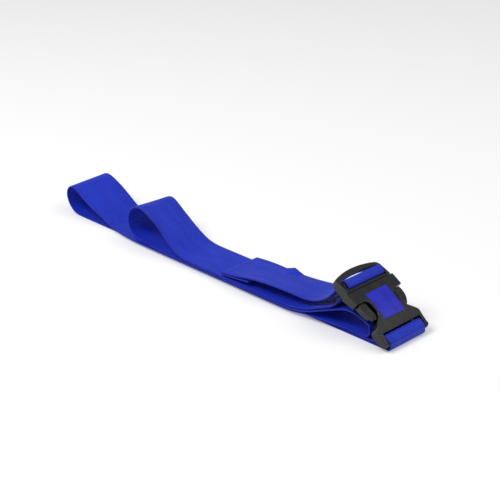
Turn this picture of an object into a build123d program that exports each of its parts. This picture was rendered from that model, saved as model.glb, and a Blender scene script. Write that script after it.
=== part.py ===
"""Folded gait belt: one length of webbing sewn to a contoured side-release buckle.

The belt lies folded on a table.  Its far end is two loops of webbing, its near end is the closed
buckle, tipped up on the plies below it.  All sizes are in millimetres.

Frame: +X along the folded belt towards the buckle, +Y across the webbing, +Z up.  The origin is on
the table, midway between the two ends of the folded belt, on the webbing's centre line.
"""
from build123d import *
from math import atan2, cos, degrees, hypot, radians, sin, sqrt, tan
import os

os.makedirs("parts", exist_ok=True)

# ---------------------------------------------------------------- driving sizes
# Webbing
strap_width = 50.0
strap_thickness = 1.6
ply_gap = 0.4                # air left between plies that lie on each other
strap_clearance = 0.3        # air between the webbing and a bar that it passes

# How the belt is folded
folded_length = 460.0
sewn_overlap = 88.0          # from the end bar to the cut end that is sewn down
floor_fold_radius = 2.6      # crease where the webbing turns under the end bar
far_loop_run = 73.0          # from the far end to where the ply lands again
far_loop_slope = 26.5        # degrees
far_loop_top_radius = 11.0
near_loop_setback = 104.0    # from the far end to the second loop's turn
near_loop_run = 79.0
near_loop_slope = 26.5
near_loop_top_radius = 15.0
landing_radius = 60.0        # soft bends where a ply comes down on the next
step_run = 16.0              # length of the ramp over the sewn end
turn_setback = 19.8          # from the end bar back to the turn under the buckle
turn_low_radius = 5.0
turn_high_radius = 4.2
hump_setback = 43.0          # from the end bar back to the hump under the buckle
hump_height = 25.5
hump_radius = 30.0
rise_radius = 14.0           # bend where the top ply turns up to the ladder lock
tail_height = 15.0
tail_bend_radius = 50.0
tail_end = 15.0              # where the tail stops, along X
hem_length = 42.0
hem_lift_radius = 120.0
hem_lift_run = 45.0          # the sewn hem slopes down over this length

# Buckle, in its own frame: u from the end bar towards the arch, v across, w out of its face
buckle_tilt = 35.4           # degrees
end_bar_height = 8.5
bar_width = 8.4
bar_thickness = 4.2
frame_wall = 4.0             # sides of both halves beside the webbing
frame_clearance = 1.0        # between the webbing's edge and those sides
crown_at = 31.4              # where both faces are highest
face_crown = 6.6
face_radius = 135.0
back_crown = -1.7
back_radius = 70.0
plate_thickness = 2.0        # skins over and under the receptacle's cavity
slide_clearance = 0.3
mouth_at = 54.0
mouth_extra = 2.0            # the mouth band stands out this much past the frame
mouth_wall = 6.1
band_length = 13.5
block_length = 12.0          # solid end of the receptacle beside the slot
waist_half_width = 15.9
scoop_start = 12.5           # the flared end narrows from here to the waist
waist_at = 25.0
ear_radius = 3.4
edge_round = 0.8

# Insert
crosspiece = 2.4
ladder_bar_width = 6.4
ladder_bar_thickness = 3.6
ladder_bar_w = 2.4           # height of its centre line over the end bar's
rail_depth = 8.3
arch_bulge = 3.2             # how far the slot under the arch reaches past its corners
arch_radius = 85.0
arch_depth = 3.3
arch_bar = 5.7
plug_length = 4.9            # what the crosspiece pushes into the mouth
plug_clearance = 0.4
tongue_half_width = 4.5
tongue_length = 26.0
rail_wall = 1.6
rail_end = 44.0

# Release arms
root_at = 50.5
root_side = 20.5
root_radius = 2.4
root_clearance = 0.2
arm_width = 3.4
latch_gap = 0.6              # between the arm's shoulder and the band that it catches
latch_depth = 2.1
pad_inner = 22.6             # the pad is thick outside this, clear of the skins when it is pressed
pad_recess = 3.2             # below the face
pad_start = 25.2
pad_bulge = 28.4
pad_tip_at = 20.3
pad_tip_side = 19.8

# Face plate
plate_long = 29.0
plate_wide = 28.6
plate_skin = 0.5
plate_gap = 0.15
plate_fit = 0.2
plate_start = 17.4

# Stitches
stitch_pitch = 3.4
stitch_length = 2.4
stitch_width = 0.8
stitch_height = 0.25
stitch_lift = 0.02
stitch_margin = 4.0
end_box_length = 40.0
hem_box_length = 30.0

# ---------------------------------------------------------------- worked-out sizes
ply = strap_thickness + ply_gap
half_ply = strap_thickness / 2
tilt = radians(buckle_tilt)
far_x = -folded_length / 2 + half_ply
near_x = folded_length / 2 - half_ply
bar_round = bar_thickness / 2
bar_flat = bar_width / 2 - bar_round
wrap = bar_round + strap_clearance + half_ply
bar_x = near_x - wrap - bar_flat * cos(tilt)
bar_z = end_bar_height
web_half = strap_width / 2 + frame_clearance
frame_half = web_half + frame_wall
mouth_half = frame_half + mouth_extra
slot_end = bar_flat + wrap + half_ply + strap_clearance + 0.4
ladder_round = ladder_bar_thickness / 2
ladder_flat = ladder_bar_width / 2 - ladder_round
ladder_wrap = ladder_round + strap_clearance + half_ply
crosspiece_start = mouth_at + 0.4
slot_one_start = crosspiece_start + crosspiece
leg_one = slot_one_start + strap_clearance + half_ply + 0.5
ladder_bar_u = leg_one + ladder_wrap + ladder_flat
leg_two = ladder_bar_u + ladder_flat + ladder_wrap
slot_two_end = leg_two + half_ply + strap_clearance
arch_reach = slot_two_end + arch_bulge + arch_bar
cavity_half = mouth_half - mouth_wall
cavity_end = slot_end + block_length
band_end = mouth_at - band_length
shoulder_at = band_end - latch_gap


def level(n):
    """Height of the middle of the n-th ply that lies flat on the table."""
    return half_ply + (n - 1) * ply


def on_buckle(u, w):
    """World X and Z of a point of the buckle's side view."""
    return (bar_x - u * cos(tilt) + w * sin(tilt), bar_z + u * sin(tilt) + w * cos(tilt))


def leg_meets(u, x0, z0, slope):
    """Where the line u = constant of the buckle meets a line through x0, z0."""
    x, z = on_buckle(u, 0)
    w = (slope * (x - x0) - (z - z0)) / (cos(tilt) - slope * sin(tilt))
    return on_buckle(u, w)


def face_w(u, drop=0.0):
    """Height of the buckle's face over the end bar's axis, or of a face parallel to it."""
    r = face_radius - drop
    return face_crown - face_radius + sqrt(r**2 - (u - crown_at) ** 2)


def back_w(u, rise=0.0):
    """Height of the buckle's back, or of a face parallel to it."""
    r = back_radius + rise
    return back_crown - back_radius + sqrt(r**2 - (u - crown_at) ** 2)


def loop_nose(x, low, run, slope, top_radius, landing):
    """Corners of a loop that stands at x and comes down again on the ply above the lower one."""
    corner = level(landing) + run * tan(radians(slope))
    tangent = top_radius * tan(radians(90 + slope) / 2)
    low_radius = 0.98 * (corner - level(low) - tangent)
    return [(x, level(low), low_radius), (x, corner, top_radius), (x + run, level(landing), landing_radius)]


# ---------------------------------------------------------------- the webbing's route
sewn_end = bar_x - sewn_overlap
ramp_high = sewn_end - 6
ramp_low = ramp_high - step_run
hump_x = bar_x - hump_setback
turn_x = bar_x - turn_setback
hump_slope = (hump_height - level(4)) / (hump_x - ramp_high)
climb_slope = hump_slope + 0.04
tail_corner = leg_meets(leg_two, 0, tail_height, 0)
ladder_top = ladder_bar_w + ladder_wrap
hem_rise = atan2(tail_height - level(6), hem_lift_run - half_ply)
hem_dir = (cos(hem_rise), sin(hem_rise))

route = [
    (*leg_meets(bar_flat + wrap, 0, level(2), 0), 8.0),
    (*on_buckle(bar_flat + wrap, wrap), wrap),
    (*on_buckle(-bar_flat - wrap * (1 - sin(tilt)) / cos(tilt), wrap), wrap),
    (near_x, level(1), floor_fold_radius),
    *loop_nose(far_x, 1, far_loop_run, far_loop_slope, far_loop_top_radius, 2),
    (ramp_low, level(2), landing_radius),
    (ramp_high, level(3), landing_radius),
    (turn_x, level(3), turn_low_radius),
    (turn_x, hump_height - (turn_x - hump_x) * hump_slope, turn_high_radius),
    (hump_x, hump_height, hump_radius),
    (ramp_high, level(4), landing_radius),
    (ramp_low, level(3), landing_radius),
    *loop_nose(far_x + near_loop_setback, 3, near_loop_run, near_loop_slope, near_loop_top_radius, 4),
    (ramp_low, level(4), landing_radius),
    (ramp_high, level(5), landing_radius),
    (*leg_meets(leg_one, ramp_high, level(5), climb_slope), rise_radius),
    (*on_buckle(leg_one, ladder_top), ladder_wrap),
    (*on_buckle(leg_two, ladder_top), ladder_wrap),
    (*tail_corner, tail_bend_radius),
    (tail_end + hem_lift_run, tail_height, hem_lift_radius),
    (tail_end + half_ply, level(6), 0.49 * ply),
    (tail_end + half_ply, level(6) - ply, 0.49 * ply),
]
route_start = (sewn_end, level(2))
route_end = (tail_end + half_ply + hem_length * hem_dir[0], level(6) - ply + hem_length * hem_dir[1])

# ---------------------------------------------------------------- webbing
with BuildPart() as webbing_strap:
    with BuildLine(Plane.XZ) as centre_line:
        FilletPolyline(route_start, *[(x, z) for x, z, _ in route], route_end, radius=[r for _, _, r in route])
    with BuildSketch(Plane(origin=centre_line.line @ 0, x_dir=(0, 1, 0), z_dir=centre_line.line % 0)):
        Rectangle(strap_width, strap_thickness)
    sweep(path=centre_line.line)

cut_length = centre_line.wire().length
print(f"webbing, cut end to cut end: {cut_length:.1f} mm, without the two sewn ends: "
      f"{cut_length - sewn_overlap - hem_length:.1f} mm")
print(f"volume {webbing_strap.part.volume:.1f}, expected {cut_length * strap_width * strap_thickness:.1f}")

# ---------------------------------------------------------------- the buckle's planes and outlines
lock_origin = (bar_x, 0, bar_z)
along = (-cos(tilt), 0, sin(tilt))
plan = Plane(origin=lock_origin, x_dir=along, z_dir=(sin(tilt), 0, cos(tilt)))
flank = Plane(origin=lock_origin, x_dir=along, z_dir=(0, 1, 0))
deep = 30.0                  # more than the height of any buckle piece
rim_parting = -1.4           # between the rim of the face and that of the back


def slab(start, end, upper, lower):
    """Side view of a curved slab between two arcs, each a height that depends on u."""
    mid = (start + end) / 2
    with BuildSketch() as shape:
        with BuildLine():
            ThreePointArc(*[(u, upper(u)) for u in (start, mid, end)])
            Line((end, upper(end)), (end, lower(end)))
            ThreePointArc(*[(u, lower(u)) for u in (end, mid, start)])
            Line((start, lower(start)), (start, upper(start)))
        make_face()
    return shape.sketch


def face(drop=0.0):
    """The face's arc, moved into the buckle by drop."""
    return lambda u: face_w(u, drop)


def back(rise=0.0):
    """The back's arc, moved into the buckle by rise."""
    return lambda u: back_w(u, rise)


def both_sides(*corners):
    """Plan outline that is the same on both sides, from one side's corners with their radii."""
    mirrored = [(u, -v, r) for u, v, r in reversed(corners)]
    with BuildSketch() as shape:
        with BuildLine():
            points = [(u, v) for u, v, _ in (*corners, *mirrored)]
            FilletPolyline(*points, radius=[r for _, _, r in (*corners, *mirrored)], close=True)
        make_face()
    return shape.sketch


def face_rim(body, start):
    """Edges round the face of a buckle half, beyond start."""
    def counts(edge):
        at = plan.to_local_coords(edge.center())
        through = edge.geom_type == GeomType.LINE and abs((edge % 0.5).Y) < 0.5
        return not through and at.X > start and at.Z > rim_parting
    return body.edges().filter_by(counts)


# ---------------------------------------------------------------- receptacle
ear_tip = -bar_flat - ear_radius
inner = plate_thickness + slide_clearance

with BuildPart() as buckle_receptacle:
    with BuildSketch(flank):
        add(slab(slot_end, mouth_at, face(), back()))
    extrude(amount=mouth_half, both=True)
    # the ears that hold the end bar go on from the body's flanks
    with BuildSketch(flank):
        with BuildLine():
            Polyline(
                (-bar_flat, ear_radius),
                (slot_end, face_w(slot_end)),
                (slot_end + 1, 0),
                (slot_end, back_w(slot_end)),
                (-bar_flat, -ear_radius),
                close=True,
            )
        make_face()
        with Locations((-bar_flat, 0)):
            Circle(ear_radius)
    extrude(amount=frame_half, both=True)
    # plan outline: flared end, scooped waist and mouth band
    with BuildSketch(plan.offset(-deep)):
        add(both_sides(
            (ear_tip, frame_half, 2.5),
            (scoop_start, frame_half, 5),
            (waist_at, waist_half_width, 8),
            (band_end, waist_half_width + 1.1, 5.5),
            (band_end, mouth_half - 0.8, 1.2),
            (mouth_at, mouth_half, 1.0),
        ))
    extrude(amount=2 * deep, mode=Mode.INTERSECT)
    fillet(face_rim(buckle_receptacle, -bar_flat - 0.3), edge_round)
    # room for the webbing between the ears, and the bar that it is sewn round
    with BuildSketch(plan.offset(-deep)):
        with Locations((slot_end - deep, 0)):
            Rectangle(2 * deep, 2 * web_half)
    extrude(amount=2 * deep, mode=Mode.SUBTRACT)
    with BuildSketch(flank):
        SlotOverall(bar_width, bar_thickness)
    extrude(amount=web_half + 1, both=True)
    # cavity for the tongue and the arms, open at the mouth and at the scooped sides
    with BuildSketch(flank):
        add(slab(cavity_end, mouth_at + 1, face(plate_thickness), back(plate_thickness)))
    extrude(amount=cavity_half, both=True, mode=Mode.SUBTRACT)
    # rails that guide the tongue and tie the two skins together
    for side in (1, -1):
        with BuildSketch(flank.offset(side * (tongue_half_width + slide_clearance + rail_wall / 2))):
            add(slab(cavity_end - 1, rail_end, face(plate_thickness / 2), back(plate_thickness / 2)))
        extrude(amount=rail_wall / 2, both=True)
    # shallow seat for the face plate
    with BuildSketch(flank):
        add(slab(plate_start - plate_fit, plate_start + plate_long + plate_fit, face(-1), face(plate_skin + plate_gap)))
    extrude(amount=plate_wide / 2 + plate_fit, both=True, mode=Mode.SUBTRACT)

# ---------------------------------------------------------------- face plate, blank
with BuildPart() as face_plate:
    with BuildSketch(flank):
        add(slab(plate_start, plate_start + plate_long, face(), face(plate_skin)))
    extrude(amount=plate_wide / 2, both=True)

# ---------------------------------------------------------------- insert
frame_stock = arch_reach + 1     # the arch is cut out of this
with BuildPart() as buckle_insert:
    # frame: its back bellies down under the ladder and thins to the arch
    with BuildSketch(flank):
        belly = (
            (crosspiece_start, back_w(mouth_at)),
            (leg_two - 2, face_w(leg_two - 2) - rail_depth),
            (frame_stock, face_w(frame_stock) - arch_depth),
        )
        with BuildLine():
            ThreePointArc(*[(u, face_w(u)) for u in (crosspiece_start, leg_two, frame_stock)])
            Line((frame_stock, face_w(frame_stock)), belly[2])
            ThreePointArc(*reversed(belly))
            Line(belly[0], (crosspiece_start, face_w(crosspiece_start)))
        make_face()
    extrude(amount=frame_half, both=True)
    # plan outline: straight sides under an arched end
    with BuildSketch(plan.offset(-deep)) as outline:
        with Locations((frame_stock / 2, 0)):
            Rectangle(frame_stock, 2 * frame_half)
        with Locations((arch_reach - arch_radius, 0)):
            Circle(arch_radius, mode=Mode.INTERSECT)
        fillet(outline.vertices().group_by(Axis.X)[-1], 6)
    extrude(amount=2 * deep, mode=Mode.INTERSECT)
    fillet(face_rim(buckle_insert, crosspiece_start + 0.1), 1.25 * edge_round)
    # the two slots, with the ladder bar across them
    with BuildSketch(plan.offset(-deep)):
        with BuildLine():
            Polyline((slot_two_end, -web_half), (slot_one_start, -web_half), (slot_one_start, web_half),
                     (slot_two_end, web_half))
            ThreePointArc((slot_two_end, web_half), (arch_reach - arch_bar, 0), (slot_two_end, -web_half))
        make_face()
    extrude(amount=2 * deep, mode=Mode.SUBTRACT)
    with BuildSketch(flank):
        with Locations((ladder_bar_u, ladder_bar_w)):
            SlotOverall(ladder_bar_width, ladder_bar_thickness)
    extrude(amount=web_half + 1, both=True)
    # plug and tongue that slide into the receptacle
    with BuildSketch(flank):
        add(slab(crosspiece_start - plug_length, crosspiece_start + 1, face(inner), back(inner)))
    extrude(amount=cavity_half - plug_clearance, both=True)
    with BuildSketch(flank):
        add(slab(crosspiece_start - tongue_length, crosspiece_start - 1, face(inner), back(inner)))
    extrude(amount=tongue_half_width, both=True)
    # round seats for the arms' roots
    with BuildSketch(plan.offset(-deep)):
        with Locations((root_at, root_side), (root_at, -root_side)):
            Circle(root_radius + root_clearance)
    extrude(amount=2 * deep, mode=Mode.SUBTRACT)


# ---------------------------------------------------------------- release arms
def arm_outline(side):
    """Plan outline of one arm without its round root, side 1 or -1."""
    bulge = cavity_half + latch_depth
    with BuildSketch() as shape:
        with BuildLine():
            ThreePointArc(
                (shoulder_at, side * bulge),
                (shoulder_at - 8, side * pad_bulge),
                (pad_tip_at + 0.8, side * (pad_tip_side + 2.2)),
            )
            Polyline(
                (pad_tip_at + 0.8, side * (pad_tip_side + 2.2)),
                (pad_tip_at, side * pad_tip_side),
                (pad_tip_at + 1.2, side * (pad_tip_side - 1.8)),
                (shoulder_at - 5, side * (root_side - 0.9)),
                (root_at, side * (root_side - arm_width / 2)),
                (root_at, side * (root_side + arm_width / 2)),
                (shoulder_at, side * (root_side + arm_width - 0.6)),
                (shoulder_at, side * bulge),
            )
        make_face()
    return shape.sketch


def release_arm(side):
    """One sprung arm: round root, beam, latching shoulder and the pad that the finger presses."""
    with BuildPart() as pad:
        with BuildSketch(flank):
            add(slab(pad_tip_at, band_end, face(pad_recess), back(slide_clearance)))
        extrude(amount=mouth_half, both=True)
        with BuildSketch(plan.offset(-deep)):
            add(arm_outline(side))
            with Locations(((pad_start + shoulder_at) / 2, side * (pad_inner + 5))):
                Rectangle(shoulder_at - pad_start, 10, mode=Mode.INTERSECT)
        extrude(amount=2 * deep, mode=Mode.INTERSECT)
    with BuildPart() as arm:
        with BuildSketch(flank):
            add(slab(pad_tip_at - 1, root_at + root_radius, face(inner), back(inner)))
        extrude(amount=mouth_half, both=True)
        with BuildSketch(plan.offset(-deep)):
            add(arm_outline(side))
            with Locations((root_at, side * root_side)):
                Circle(root_radius)
        extrude(amount=2 * deep, mode=Mode.INTERSECT)
        add(pad.part)
    return arm.part


# ---------------------------------------------------------------- stitches
def box_stitches(plane, length, cross):
    """Box seam on a flat ply, from the plane's origin along its x, with or without a cross in it."""
    half = strap_width / 2 - stitch_margin
    corners = [(0, -half), (length, -half), (length, half), (0, half)]
    runs = [(corners[i], corners[(i + 1) % 4]) for i in range(4)]
    if cross:
        runs += [(corners[0], corners[2]), (corners[1], corners[3])]
    with BuildPart() as seam:
        with BuildSketch(plane.offset(stitch_lift)):
            for (x0, y0), (x1, y1) in runs:
                count = 2 * round(hypot(x1 - x0, y1 - y0) / stitch_pitch / 2)
                turn = degrees(atan2(y1 - y0, x1 - x0))
                spots = [(i + 0.5) / count for i in range(count)]
                with Locations(*[Location((x0 + (x1 - x0) * t, y0 + (y1 - y0) * t), turn) for t in spots]):
                    Rectangle(stitch_length, stitch_width)
        extrude(amount=stitch_height)
    return seam.part


end_seam = Plane(origin=(sewn_end + stitch_margin, 0, level(2) + half_ply))
hem_seam = Plane(
    origin=(tail_end + half_ply + stitch_margin * hem_dir[0] - half_ply * hem_dir[1], 0,
            level(6) + stitch_margin * hem_dir[1] + half_ply * hem_dir[0]),
    x_dir=(hem_dir[0], 0, hem_dir[1]),
    z_dir=(-hem_dir[1], 0, hem_dir[0]),
)

# ---------------------------------------------------------------- write the pieces
pieces = {
    "webbing_strap": webbing_strap.part,
    "buckle_receptacle": buckle_receptacle.part,
    "buckle_insert": buckle_insert.part,
    "release_arm_near": release_arm(1),
    "release_arm_far": release_arm(-1),
    "face_plate": face_plate.part,
    "end_stitching": box_stitches(end_seam, end_box_length, True),
    "hem_stitching": box_stitches(hem_seam, hem_box_length, False),
}
for name, piece in pieces.items():
    piece.label = name
    export_step(piece, f"parts/{name}.step")
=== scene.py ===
# %% [markdown]
# # A folded gait belt
# The belt is one long strip of heavy webbing with a side-release buckle on its ends.  It lies folded on
# a table.  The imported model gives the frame: every number below is in millimetres in that frame until
# it is turned into metres, Blender's own unit here.

import bpy
import numpy as np
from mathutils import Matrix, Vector


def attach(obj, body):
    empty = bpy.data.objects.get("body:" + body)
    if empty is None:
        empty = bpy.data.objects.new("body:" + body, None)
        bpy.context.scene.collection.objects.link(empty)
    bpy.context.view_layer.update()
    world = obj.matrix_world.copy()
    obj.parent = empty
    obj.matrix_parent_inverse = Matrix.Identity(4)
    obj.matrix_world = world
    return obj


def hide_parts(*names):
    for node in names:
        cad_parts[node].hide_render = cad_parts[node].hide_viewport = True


MM = 0.001
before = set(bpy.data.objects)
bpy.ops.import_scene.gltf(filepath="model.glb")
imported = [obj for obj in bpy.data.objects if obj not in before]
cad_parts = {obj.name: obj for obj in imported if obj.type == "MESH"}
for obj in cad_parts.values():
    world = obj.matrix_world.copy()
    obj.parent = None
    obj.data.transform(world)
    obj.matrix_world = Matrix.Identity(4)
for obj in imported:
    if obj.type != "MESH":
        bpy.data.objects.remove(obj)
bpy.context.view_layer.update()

# %% [markdown]
# ## Camera
# A product shot of a long thin thing is taken with a long lens from a corner, a little above it.  The
# camera looks at one point near the middle of the belt, from an azimuth and an elevation.

# %% Camera
CAMERA_TARGET = np.array([-13.3, 42.6, 0.0])
CAMERA_AZIMUTH, CAMERA_ELEVATION = np.radians(44.9), np.radians(24.5)
CAMERA_DISTANCE = 1433.5
FOCAL_LENGTH = 100.0


def direction(azimuth, elevation):
    """Unit vector towards a viewer at that azimuth and height: 0 looks along +Y, 90 along -X."""
    flat = np.cos(elevation)
    return np.array([np.sin(azimuth) * flat, -np.cos(azimuth) * flat, np.sin(elevation)])


def aimed(obj, place, target):
    """Puts a lamp or camera at place and turns its -Z towards target, both in millimetres."""
    obj.location = Vector(place) * MM
    obj.rotation_euler = Vector(np.asarray(target) - place).to_track_quat("-Z", "Y").to_euler()
    bpy.context.scene.collection.objects.link(obj)
    return obj


camera_data = bpy.data.cameras.new("camera")
camera_data.lens, camera_data.clip_start, camera_data.clip_end = FOCAL_LENGTH, 0.01, 100
camera_place = CAMERA_TARGET + CAMERA_DISTANCE * direction(CAMERA_AZIMUTH, CAMERA_ELEVATION)
camera = aimed(bpy.data.objects.new("camera", camera_data), camera_place, CAMERA_TARGET)
bpy.context.scene.camera = camera

# %% [markdown]
# ## The strip's centre line
# Webbing bends easily one way and hardly at all the other way, so a folded belt is first of all a line
# in the X-Z plane.  It could be a drawn curve, but then its length would be a guess.  Here it is a list
# of corners, each with the radius of the fold there, as in the solid model.  Straight runs and arcs
# are sampled closely, and soft bends are blurred a little, because cloth doesn't change its curvature
# at once.

# %% Corners of the route: x, z, radius
ROUTE_START = (136.29, 2.8)
ROUTE = np.array([
    (213.74, 2.80, 8.0),     # the sewn end rises to the receptacle's bar
    (221.82, 14.18, 3.2),
    (229.20, 8.94, 3.2),
    (229.20, 0.80, 2.6),     # creased where it turns under the bar
    (-229.20, 0.80, 20.2),   # far loop
    (-229.20, 39.20, 11.0),
    (-156.20, 2.80, 60.0),   # lands on the bottom ply
    (114.29, 2.80, 60.0),    # ramp over the sewn end
    (130.29, 4.80, 60.0),
    (204.49, 4.80, 5.0),     # turn under the buckle
    (204.49, 16.99, 4.2),
    (181.29, 25.50, 30.0),
    (130.29, 6.80, 60.0),
    (114.29, 4.80, 60.0),
    (-125.20, 4.80, 16.8),   # near loop
    (-125.20, 46.19, 15.0),
    (-46.20, 6.80, 60.0),    # lands on the pile
    (114.29, 6.80, 60.0),
    (130.29, 8.80, 60.0),
    (162.03, 21.71, 14.0),   # up to the ladder bar and over it
    (179.75, 46.65, 2.9),
    (172.74, 51.63, 2.9),
    (146.71, 15.00, 50.0),   # the tail comes down and lies back over the pile
    (60.00, 15.00, 120.0),
    (21.50, 10.80, 0.98),    # its hem is folded under and sewn
    (21.50, 8.80, 0.98),
])
ROUTE_END = (57.61, 12.74)
FINE = 0.1                   # spacing of the samples, in millimetres


def rounded_route(start, corners, end):
    """Points along the filleted route, and the length at the middle of each corner.

    At a corner of radius r between unit vectors a and b, the arc touches both runs at r / tan(half the
    angle between them) from the corner; its centre is on a + b, r / sin(half) away.
    """
    points, marks = [np.array(start)], []
    before = np.vstack([start, corners[:-1, :2]])
    after = np.vstack([corners[1:, :2], end])
    for (x, z, r), p, q in zip(corners, before, after):
        corner = np.array([x, z])
        a, b = (p - corner) / np.hypot(*(p - corner)), (q - corner) / np.hypot(*(q - corner))
        half = np.arccos(np.clip(a @ b, -1, 1)) / 2
        centre = corner + (a + b) / np.hypot(*(a + b)) * r / np.sin(half)
        first, last = corner + a * r / np.tan(half) - centre, corner + b * r / np.tan(half) - centre
        turn = np.arctan2(first[0] * last[1] - first[1] * last[0], first @ last)
        angle = np.linspace(0, turn, max(4, int(abs(turn) * r / FINE)))[:, None]
        quarter = np.array([-first[1], first[0]])
        points.append(centre + first * np.cos(angle) + quarter * np.sin(angle))
        marks.append(len(np.vstack(points)) - len(angle) // 2 - 1)
    points = np.vstack([*points, end])
    length = np.r_[0, np.cumsum(np.hypot(*np.diff(points, axis=0).T))]
    return points, length, length[marks]


route_points, route_length, corner_at = rounded_route(ROUTE_START, ROUTE, ROUTE_END)
strap_length = route_length[-1]
fine_s = np.arange(0, strap_length, FINE)
fine_x, fine_z = (np.interp(fine_s, route_length, route_points[:, i]) for i in (0, 1))
print(f"strap: {strap_length:.1f} mm from cut end to cut end")

# %% [markdown]
# ## The strip's place in space
# A real fold is never square: each ply lies a little to one side, and the loops lean.  Rather than
# moving vertices by hand afterwards, the strip is a surface P(s, v, h): s along it, v across it and h
# through it.  A table of stations says how far it is shifted, twisted and lifted there, and smooth
# curves run through the stations.

# %% Shift, twist and lift along the strip
# corner, distance past it, shift towards +Y, twist in degrees (far edge up), lift
STATIONS = np.array([
    (0, -60, 0, 0, 0),
    (4, 0, 0, 0, 0),
    (5, 0, 0, 0, 0),
    (5, 15, 0, 5, 0),        # the far loop's top leans away
    (5, 33, 0, 11, 0),
    (5, 50, 0, 1, 0),
    (6, 0, 0, 0, 0),
    (6, 40, -7, 0, 0),
    (7, 0, -8, 0, 0),
    (9, -20, 0, 0, 0),
    (11, 10, 0, 0, 0),
    (12, 0, -7, 0, 0),
    (13, 0, -8.5, 0, 0),
    (14, -60, -8, 0, 0),
    (14, 0, -1.5, 0, 0),
    (15, 0, -1, 0, 0),
    (15, 25, -3, -9, 4),     # the near loop's top leans forward
    (15, 55, -6, -9, 4),
    (16, 10, -8, 0, 0),
    (17, 0, -8, 0, 0),
    (18, 20, -3, 0, 0),
    (19, 10, 0, 0, 0),
    (22, 10, 0, 0, 0),
    (22, 38, -3, -8, 0),
    (23, -4, -7, -8, 0),
    (23, 14, -7, 0, 0),
    (25, 40, -7, 0, 0),
], float)
BLUR = 4.0                   # softness of the wide bends
TIGHT_RADIUS, TIGHT_REACH = 6.0, 9.0


def blurred(values, width):
    """Values on the fine grid, averaged under a bell curve of that width in millimetres."""
    reach = int(3 * width / FINE)
    bell = np.exp(-0.5 * (np.arange(-reach, reach + 1) * FINE / width) ** 2)
    return np.convolve(np.pad(values, reach, mode="reflect", reflect_type="odd"), bell / bell.sum(), "valid")


def station_curve(column, width=12.0):
    """A station column as a smooth curve over the fine grid."""
    at = corner_at[STATIONS[:, 0].astype(int)] + STATIONS[:, 1]
    return blurred(np.interp(fine_s, at, STATIONS[:, column]), width)


tight = np.zeros_like(fine_s)
for s, r in zip(corner_at, ROUTE[:, 2]):
    if r < TIGHT_RADIUS:
        tight[abs(fine_s - s) < TIGHT_REACH] = 1
tight[(fine_s < TIGHT_REACH) | (fine_s > strap_length - TIGHT_REACH)] = 1
tight = np.clip(blurred(tight, 2.0), 0, 1)
line = np.stack([
    tight * fine_x + (1 - tight) * blurred(fine_x, BLUR),
    station_curve(2),
    tight * fine_z + (1 - tight) * blurred(fine_z, BLUR) + station_curve(4),
])
along = np.gradient(line, FINE, axis=1)
along /= np.linalg.norm(along, axis=0)
across = np.array([[0.0], [1.0], [0.0]]) - along * along[1]
across /= np.linalg.norm(across, axis=0)
through = np.cross(along, across, axis=0)
# a twist with the far edge up is the same way round for plies that run either way
twist = np.radians(station_curve(3)) * np.sign(through[2] + 1e-9) * np.minimum(1, abs(through[2]) * 3)
across, through = (across * np.cos(twist) + through * np.sin(twist),
                   through * np.cos(twist) - across * np.sin(twist))


def strip(s, v, h):
    """Points of the strip: the centre line at s, plus v across it and h through it."""
    def at(field):
        return np.stack([np.interp(s, fine_s, row) for row in field])
    return at(line) + at(across) * v + at(through) * h

# %% [markdown]
# ## Woven surface
# Heavy webbing is woven on a narrow loom.  Thick weft makes ribs straight across it, and the warp
# threads lie lengthways in close columns, with a rounded selvedge at both edges.  A flat ribbon with
# Solidify would have square edges, so the strip gets a closed outline instead: columns over each
# face and one vertex in the middle of each edge, carried along P(s, v, h) in rows a quarter of a rib
# apart.  The ribs are then real shape, and the finer warp columns are left to the material.

# %% Helpers for meshes and pieces
def signed_volume(points, faces):
    """Sum of p0 . (p1 x p2) / 6 over the fans of every face: positive if they point outwards."""
    total = 0.0
    for block in faces:
        for k in range(1, block.shape[1] - 1):
            first, second, third = (points[block[:, i]] for i in (0, k, k + 1))
            total += np.einsum("ij,ij->", first, np.cross(second, third)) / 6
    return total


def make_piece(name, points, faces, finish, body="belt", smooth=True):
    """A closed mesh from points (n, 3) in millimetres and blocks of faces, turned outwards."""
    volume = signed_volume(points, faces)
    if volume < 0:
        faces = [block[:, ::-1] for block in faces]
    mesh = bpy.data.meshes.new(name)
    mesh.from_pydata((points * MM).tolist(), [], [face for block in faces for face in block.tolist()])
    mesh.polygons.foreach_set("use_smooth", np.full(len(mesh.polygons), smooth))
    mesh.materials.append(finish)
    mesh.update()
    piece = bpy.data.objects.new(name, mesh)
    bpy.context.scene.collection.objects.link(piece)
    triangles = sum(len(block) * (block.shape[1] - 2) for block in faces)
    print(f"{name}: {triangles} triangles, {abs(volume) / 1000:.1f} cm3")
    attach(piece, body)
    return piece


# %% [markdown]
# ## Finishes
# Every finish starts from the same few steps, so small functions add a node, a sum or a colour ramp.
# The grain of moulded plastic and thread is one node group, and the weave is another: they put out
# only heights and masks, and the shader stays in each material.

# %% Node helpers
def add_node(tree, kind, inputs=(), **settings):
    """A node with its settings; inputs maps a socket's name or number to a value or to a socket."""
    node = tree.nodes.new(kind)
    for setting, value in settings.items():
        setattr(node, setting, value)
    for socket, value in dict(inputs).items():
        if isinstance(value, bpy.types.NodeSocket):
            tree.links.new(value, node.inputs[socket])
        else:
            node.inputs[socket].default_value = value
    return node


def calc(tree, operation, *values):
    """The result of a Math node."""
    return add_node(tree, "ShaderNodeMath", dict(enumerate(values)), operation=operation).outputs[0]


def ramp(tree, mask, *stops):
    """A mask from 0 to 1 turned into a colour or a level by stops (position, colour)."""
    node = add_node(tree, "ShaderNodeValToRGB", {0: mask})
    elements = node.color_ramp.elements
    while len(elements) < len(stops):
        elements.new(0.5)
    for element, (position, colour) in zip(elements, stops):
        element.position = position
        element.color = (*colour, 1) if hasattr(colour, "__len__") else (colour, colour, colour, 1)
    return node.outputs[0]


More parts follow.
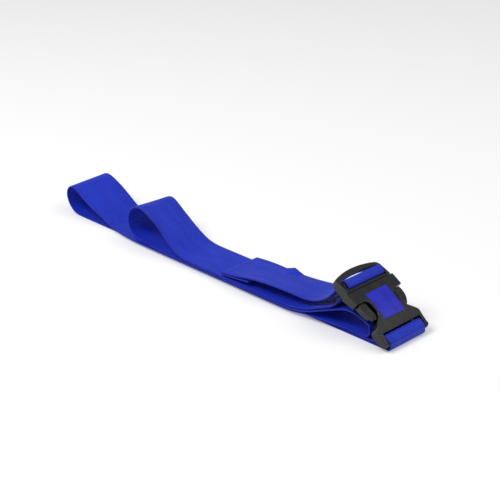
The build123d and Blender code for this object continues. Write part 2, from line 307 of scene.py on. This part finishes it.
def new_group(name, inputs, outputs):
    """An empty node group with those sockets, and its input and output nodes."""
    tree = bpy.data.node_groups.new(name, "ShaderNodeTree")
    for in_out, sockets in (("INPUT", inputs), ("OUTPUT", outputs)):
        for socket, kind in sockets:
            tree.interface.new_socket(socket, in_out=in_out, socket_type=kind)
    return tree, tree.nodes.new("NodeGroupInput").outputs, tree.nodes.new("NodeGroupOutput").inputs


def new_material(name, **constants):
    """A material with a Principled shader; constants are set on the shader's own sockets."""
    material = bpy.data.materials.new(name)
    material.use_nodes = True
    shader = material.node_tree.nodes["Principled BSDF"]
    for socket, value in constants.items():
        shader.inputs[socket.replace("_", " ")].default_value = value
    return material, material.node_tree, shader.inputs


# %% [markdown]
# ## Grain
# Moulded plastic has a fine, even texture from the mould, and a slower unevenness in its gloss.  Both
# are noise at two scales: the fine one is a height, and the slow one a mask for colour and roughness.

# %% The grain group
grain, grain_in, grain_out = new_group(
    "fine_grain",
    [("Vector", "NodeSocketVector"), ("Scale", "NodeSocketFloat")],
    [("Height", "NodeSocketFloat"), ("Mottle", "NodeSocketFloat")],
)
fine = add_node(grain, "ShaderNodeTexNoise",
                {"Vector": grain_in["Vector"], "Scale": grain_in["Scale"], "Detail": 3.0, "Roughness": 0.6})
slow_scale = calc(grain, "DIVIDE", grain_in["Scale"], 22.0)
slow = add_node(grain, "ShaderNodeTexNoise",
                {"Vector": grain_in["Vector"], "Scale": slow_scale, "Detail": 4.0, "Roughness": 0.55})
grain.links.new(fine.outputs[0], grain_out["Height"])
grain.links.new(slow.outputs[0], grain_out["Mottle"])

# %% [markdown]
# ## Weave
# The strap's own map runs in metres, across and along, so the pattern follows every fold.  A cosine
# along it makes the ribs.  Its phase turns by half a rib from one warp column to the next, as the
# threads go over and under, and the gaps between the columns are low.  Two masks go to the strap's
# colour as painted light: the rib crests and the raised threads painted lighter, a painted highlight,
# and the rib valleys and the gaps between the columns painted darker, a painted shade.

# %% The weave group
RIB_PITCH = 2.44
COLUMN_PITCH = 1.25
weave, weave_in, weave_out = new_group(
    "woven_ribs",
    [("Map", "NodeSocketVector")],
    [("Height", "NodeSocketFloat"), ("Painted Rib Light", "NodeSocketFloat"), ("Painted Thread Light", "NodeSocketFloat"),
     ("Selvedge", "NodeSocketFloat")],
)
place = add_node(weave, "ShaderNodeSeparateXYZ", {0: weave_in["Map"]}).outputs
column = calc(weave, "DIVIDE", place[0], COLUMN_PITCH * MM)
column_gap = calc(weave, "ABSOLUTE", calc(weave, "SINE", calc(weave, "MULTIPLY", column, np.pi)))
phase = calc(weave, "MULTIPLY", calc(weave, "FLOOR", column), np.pi)
rib_turn = calc(weave, "MULTIPLY", place[1], 2 * np.pi / (RIB_PITCH * MM))
# rib mask: in the strap's colour a painted highlight on the crests and painted shade in the valleys
rib = calc(weave, "MULTIPLY_ADD", calc(weave, "COSINE", rib_turn), 0.5, 0.5)
over = calc(weave, "MULTIPLY_ADD", calc(weave, "COSINE", calc(weave, "ADD", rib_turn, phase)), 0.5, 0.5)
stretched = add_node(weave, "ShaderNodeVectorMath",
                     {0: weave_in["Map"], 1: (5200.0, 900.0, 1.0)}, operation="MULTIPLY").outputs[0]
fibre = add_node(weave, "ShaderNodeTexNoise", {"Vector": stretched, "Scale": 1.0, "Detail": 2.0}).outputs[0]
# raised threads: the bump's height, and in the colour a painted highlight on the threads with painted shade in the
# column gaps
raised = calc(weave, "MULTIPLY", calc(weave, "MULTIPLY_ADD", over, 0.5, 0.5), column_gap)
weave.links.new(calc(weave, "MULTIPLY_ADD", fibre, 0.35, raised), weave_out["Height"])
weave.links.new(rib, weave_out["Painted Rib Light"])
weave.links.new(raised, weave_out["Painted Thread Light"])
edge = add_node(weave, "ShaderNodeMapRange",
                {0: calc(weave, "ABSOLUTE", place[0]), 1: 0.0225, 2: 0.0232}, interpolation_type="SMOOTHSTEP")
weave.links.new(edge.outputs[0], weave_out["Selvedge"])

# %% [markdown]
# ## The strap's material
# Dyed polyester webbing is a strong royal blue.  Light and shade of the weave are painted into the
# colour: the ribs and raised threads are painted lighter, a painted highlight, and the valleys and the
# gaps between the columns a deeper blue, a painted shade.  The selvedge is a little darker, and
# handling leaves slow pale patches.  The fibres have a soft gloss with a trace of sheen, never a mirror.

# %% Strap material
webbing, tree, shader = new_material("webbing", Sheen_Weight=0.08, Sheen_Roughness=0.4, Specular_IOR_Level=0.35)
strap_map = add_node(tree, "ShaderNodeUVMap", uv_map="strap").outputs[0]
woven = add_node(tree, "ShaderNodeGroup", node_tree=weave)
tree.links.new(strap_map, woven.inputs["Map"])
handled = add_node(tree, "ShaderNodeTexNoise", {
    "Vector": add_node(tree, "ShaderNodeVectorMath", {0: strap_map, 1: (90.0, 22.0, 1.0)}, operation="MULTIPLY").outputs[0],
    "Scale": 1.0, "Detail": 5.0, "Roughness": 0.6}).outputs[0]
# painted light in the colour: lighter on the rib crests and raised threads (painted highlight), darker in the valleys
# and column gaps (painted shade); then the slow handling patches and the darker selvedge
painted_light_and_tone = calc(tree, "MULTIPLY_ADD", woven.outputs["Painted Rib Light"], 0.35, calc(tree, "MULTIPLY", woven.outputs["Painted Thread Light"], 0.4))
painted_light_and_tone = calc(tree, "MULTIPLY_ADD", handled, 0.5, painted_light_and_tone)
painted_light_and_tone = calc(tree, "MULTIPLY_ADD", woven.outputs["Selvedge"], -0.12, painted_light_and_tone)
blue = ramp(tree, painted_light_and_tone, (0.15, (0.0, 0.003, 0.23)), (0.55, (0.001, 0.016, 0.47)), (0.95, (0.006, 0.05, 0.66)))
tree.links.new(blue, shader["Base Color"])
tree.links.new(ramp(tree, handled, (0.3, 0.62), (0.7, 0.48)), shader["Roughness"])
bump = add_node(tree, "ShaderNodeBump", {"Strength": 0.55, "Distance": 0.00018, "Height": woven.outputs["Height"]})
tree.links.new(bump.outputs[0], shader["Normal"])

# %% [markdown]
# ## Plastic and thread
# The buckle is moulded in black acetal: very dark, smooth and fairly glossy, with faint scuffs that
# only change its gloss.  The plate on its face is printed in a plain blue and has a clearer shine.
# The sewing thread is the strap's blue, a little lighter, with a twist that shows as fine ridges.

# %% Plastic, plate and thread materials
def grained(name, scale, stops, gloss, depth, **constants):
    """A material from the grain group: colour and roughness follow its slow mask, bump its fine one."""
    material, tree, shader = new_material(name, **constants)
    where = add_node(tree, "ShaderNodeTexCoord").outputs["Object"]
    texture = add_node(tree, "ShaderNodeGroup", node_tree=grain)
    tree.links.new(where, texture.inputs["Vector"])
    texture.inputs["Scale"].default_value = scale
    tree.links.new(ramp(tree, texture.outputs["Mottle"], *stops), shader["Base Color"])
    tree.links.new(ramp(tree, texture.outputs["Mottle"], *gloss), shader["Roughness"])
    bump = add_node(tree, "ShaderNodeBump", {"Strength": 0.5, "Distance": depth, "Height": texture.outputs["Height"]})
    tree.links.new(bump.outputs[0], shader["Normal"])
    return material


black_plastic = grained("black_plastic", 2600.0, [(0.3, (0.003, 0.003, 0.0035)), (0.75, (0.008, 0.008, 0.009))],
                        [(0.3, 0.2), (0.7, 0.32)], 0.00004, Specular_IOR_Level=0.5)
blue_plate = grained("blue_plate", 1800.0, [(0.3, (0.0004, 0.006, 0.42)), (0.75, (0.001, 0.012, 0.55))],
                     [(0.3, 0.22), (0.7, 0.34)], 0.00002, Specular_IOR_Level=0.5)
thread = grained("thread", 5200.0, [(0.3, (0.001, 0.015, 0.36)), (0.75, (0.004, 0.04, 0.6))],
                 [(0.3, 0.42), (0.7, 0.6)], 0.00012, Sheen_Weight=0.1)

for name in ("buckle_receptacle", "buckle_insert", "release_arm_near", "release_arm_far", "face_plate"):
    finish = blue_plate if name == "face_plate" else black_plastic
    for material_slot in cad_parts[name].material_slots:
        material_slot.material = finish
print("finishes:", [material.name for material in bpy.data.materials])

# %% [markdown]
# ## The strap's mesh
# The weft makes the ply thinner between two ribs, h = half a ply - depth * (1 - cos(2 pi s / pitch)) / 2,
# half a pitch later on the other face.  At an edge the outline closes in a half round that is
# pinched a little between the ribs.  On the tail the far edge has buckled into a small pointed facet.

# %% Outline, ribs and the buckled facet
HALF_WIDTH, HALF_PLY = 25.0, 0.8
COLUMNS = np.array([-24.9, -24.5, -23.4, -20, -15, -8, 0, 8, 13, 17, 20, 23.4, 24.5, 24.9])
ROWS_PER_RIB = 4
RIB_DEPTH, EDGE_PINCH = 0.16, 0.25
FACET_AT, FACET_HALF, FACET_DEEP, FACET_RISE = corner_at[23] - 15, 12.0, 13.0, 4.5

outline_v = np.r_[COLUMNS, HALF_WIDTH, COLUMNS[::-1], -HALF_WIDTH]
outline_side = np.r_[np.ones(len(COLUMNS)), 0, -np.ones(len(COLUMNS)), 0]
rounding = np.clip((abs(outline_v) - (HALF_WIDTH - HALF_PLY)) / HALF_PLY, 0, 1)
outline_h = outline_side * np.sqrt(1 - rounding ** 2)


def facet(s, v):
    """A tent on the far edge, FACET_RISE high there, that falls and narrows to a point inwards."""
    inward = np.clip((v - HALF_WIDTH + FACET_DEEP) / FACET_DEEP, 0, 1)
    return FACET_RISE * inward * np.clip(1 - abs(s - FACET_AT) / (FACET_HALF * np.maximum(inward, 0.05)), 0, 1)


row_count = int(strap_length / RIB_PITCH * ROWS_PER_RIB)
row_s = np.linspace(0, strap_length - FINE, row_count)[:, None] + 0 * outline_v
turn = 2 * np.pi * row_s / RIB_PITCH + np.pi * (outline_side < 0)
valley = 0.5 - 0.5 * np.cos(turn)
row_v = outline_v - np.sign(outline_v) * EDGE_PINCH * valley * (rounding > 0)
surface = strip(row_s, row_v, outline_h * (HALF_PLY - RIB_DEPTH * valley))
surface[2] += facet(row_s, row_v)

ring = len(outline_v)
i, j = np.meshgrid(np.arange(row_count - 1), np.arange(ring), indexing="ij")
around = (j + 1) % ring
walls = np.stack([i * ring + j, (i + 1) * ring + j, (i + 1) * ring + around, i * ring + around], -1).reshape(-1, 4)
cut_ends = np.array([np.arange(ring), (row_count - 1) * ring + np.arange(ring)[::-1]])
strap = make_piece("folded_webbing", surface.reshape(3, -1).T, [walls, cut_ends], webbing)

mesh = strap.data
corner_vertex = np.empty(len(mesh.loops), np.int32)
mesh.loops.foreach_get("vertex_index", corner_vertex)
flat_place = np.stack([(outline_v + 0 * row_s), row_s], -1).reshape(-1, 2) * MM
mesh.uv_layers.new(name="strap").data.foreach_set("uv", flat_place[corner_vertex].astype(np.float32).ravel())
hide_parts("webbing_strap")

# %% [markdown]
# ## Stitching
# The fixed end is sewn down with a box and a cross, and the hem of the tail with a box.  A stitch is a
# short thread that bulges in the middle and dives into the cloth at both ends, so its radius is
# sqrt(1 - a^4) along its length, a from -1 to 1.  Each is laid on the strip with the same P(s, v, h).

# %% Stitches
STITCH_LENGTH, STITCH_WIDTH, STITCH_HEIGHT, STITCH_SIDES = 2.7, 0.9, 0.3, 6
BOX_HALF = 21.0


def seam(lines, pitch):
    """Middles (s, v) and directions of stitches spaced evenly along straight lines."""
    middles, ways = [], []
    for first, last in np.array(lines, float):
        reach = np.hypot(*(last - first))
        count = round(reach / pitch)
        middles.append(first + (last - first) * (np.arange(count)[:, None] + 0.5) / count)
        ways.append(np.tile((last - first) / reach, (count, 1)))
    return np.vstack(middles), np.vstack(ways)


def box_lines(start, end, cross):
    """The sides of a sewn box from start to end, and its diagonals where it has a cross."""
    a, b, c, d = (start, -BOX_HALF), (end, -BOX_HALF), (end, BOX_HALF), (start, BOX_HALF)
    return [(a, b), (b, c), (c, d), (d, a)] + ([(a, c), (b, d)] if cross else [])


def sew(name, lines, pitch, side):
    """All stitches along the lines as one piece, half sunk into the strip's face on that side."""
    middles, ways = seam(lines, pitch)
    reach = np.array([-0.97, -0.7, 0.0, 0.7, 0.97])[:, None]
    around = np.arange(STITCH_SIDES) * 2 * np.pi / STITCH_SIDES
    radius = np.sqrt(1 - reach ** 4)
    rings = np.stack([reach + 0 * around, radius * np.cos(around), radius * np.sin(around)], -1).reshape(-1, 3)
    unit = np.vstack([rings, [(-1, 0, 0), (1, 0, 0)]]) * (STITCH_LENGTH / 2, STITCH_WIDTH / 2, STITCH_HEIGHT)
    ds, dv, dh = unit.T
    s = middles[:, :1] + ds * ways[:, :1] - dv * ways[:, 1:]
    v = middles[:, 1:] + ds * ways[:, 1:] + dv * ways[:, :1]
    points = strip(s, v, side * (HALF_PLY - RIB_DEPTH / 2 + dh)).reshape(3, -1).T
    i, j = np.meshgrid(np.arange(len(reach) - 1), np.arange(STITCH_SIDES), indexing="ij")
    k = (j + 1) % STITCH_SIDES
    walls = np.stack([i * STITCH_SIDES + j, i * STITCH_SIDES + k,
                      (i + 1) * STITCH_SIDES + k, (i + 1) * STITCH_SIDES + j], -1).reshape(-1, 4)
    j, k = j[0], k[0]
    first, last = len(rings) + 0 * j, len(rings) + 1 + 0 * j
    tips = np.vstack([np.stack([first, k, j], -1),
                      np.stack([last, j + (len(reach) - 1) * STITCH_SIDES, k + (len(reach) - 1) * STITCH_SIDES], -1)])
    shift = (np.arange(len(middles)) * len(unit))[:, None, None]
    faces = [(block + shift).reshape(-1, block.shape[1]) for block in (walls, tips)]
    return make_piece(name, points, faces, thread)


end_seam = sew("sewn_end_box", box_lines(4.0, 44.0, True), 3.8, 1)
hem_seam = sew("hem_box", box_lines(corner_at[24] - 34.0, corner_at[24] - 4.0, False), 3.6, -1)
for piece, node in ((end_seam, "end_stitching"), (hem_seam, "hem_stitching")):
    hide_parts(node)

# %% [markdown]
# ## Table and light
# The belt lies on a plain white table under large soft lamps.  The floor is a wide sheet whose shader
# adds a little light for rays that reach the viewer, so that it is white and still keeps the shadow.
# The key lamp stands high on the left, and a weaker one opens the shadows from the right.

# %% Floor, world and lamps
FLOOR_REACH = 15000.0
FLOOR_GREY, FLOOR_GLOW, WORLD_LIGHT = 0.8, 0.24, 0.42

floor_points = np.array([(-1, -1, 0), (1, -1, 0), (1, 1, 0), (-1, 1, 0)]) * (FLOOR_REACH, FLOOR_REACH, 1.0)
floor_points[:, 2] = -0.1
floor_mesh = bpy.data.meshes.new("floor")
floor_mesh.from_pydata((floor_points * MM).tolist(), [], [(0, 1, 2, 3)])
floor = bpy.data.objects.new("floor", floor_mesh)
bpy.context.scene.collection.objects.link(floor)

table_white = bpy.data.materials.new("table_white")
table_white.use_nodes = True
tree = table_white.node_tree
tree.nodes.clear()
path = add_node(tree, "ShaderNodeLightPath").outputs
seen = calc(tree, "MAXIMUM", path["Is Camera Ray"],
            calc(tree, "MAXIMUM", path["Is Glossy Ray"], path["Is Transmission Ray"]))
matt = add_node(tree, "ShaderNodeBsdfDiffuse", {"Color": (FLOOR_GREY, FLOOR_GREY, FLOOR_GREY, 1)})
glow = add_node(tree, "ShaderNodeEmission", {"Strength": calc(tree, "MULTIPLY", seen, FLOOR_GLOW)})
both = add_node(tree, "ShaderNodeAddShader", {0: matt.outputs[0], 1: glow.outputs[0]})
add_node(tree, "ShaderNodeOutputMaterial", {0: both.outputs[0]})
floor_mesh.materials.append(table_white)

world = bpy.data.worlds.new("studio")
bpy.context.scene.world = world
world.use_nodes = True
tree = world.node_tree
seen = add_node(tree, "ShaderNodeLightPath").outputs["Is Camera Ray"]
tree.nodes["Background"].inputs[0].default_value = (1, 1, 1, 1)
tree.links.new(calc(tree, "MULTIPLY_ADD", seen, 1 - WORLD_LIGHT, WORLD_LIGHT), tree.nodes["Background"].inputs[1])


def softbox(name, azimuth, elevation, distance, size, level):
    """A square lamp aimed at the belt; level is what it adds to a white surface that faces it."""
    lamp = bpy.data.lights.new(name, "AREA")
    lamp.size = size * MM
    lamp.energy = level * np.pi ** 2 * (distance * MM) ** 2
    place = CAMERA_TARGET + distance * direction(np.radians(azimuth), np.radians(elevation))
    return aimed(bpy.data.objects.new(name, lamp), place, CAMERA_TARGET)


softbox("key_lamp", -20, 55, 2000.0, 900.0, 0.55)
softbox("fill_lamp", 120, 50, 2200.0, 1200.0, 0.2)
bpy.context.scene.view_settings.view_transform = "Standard"
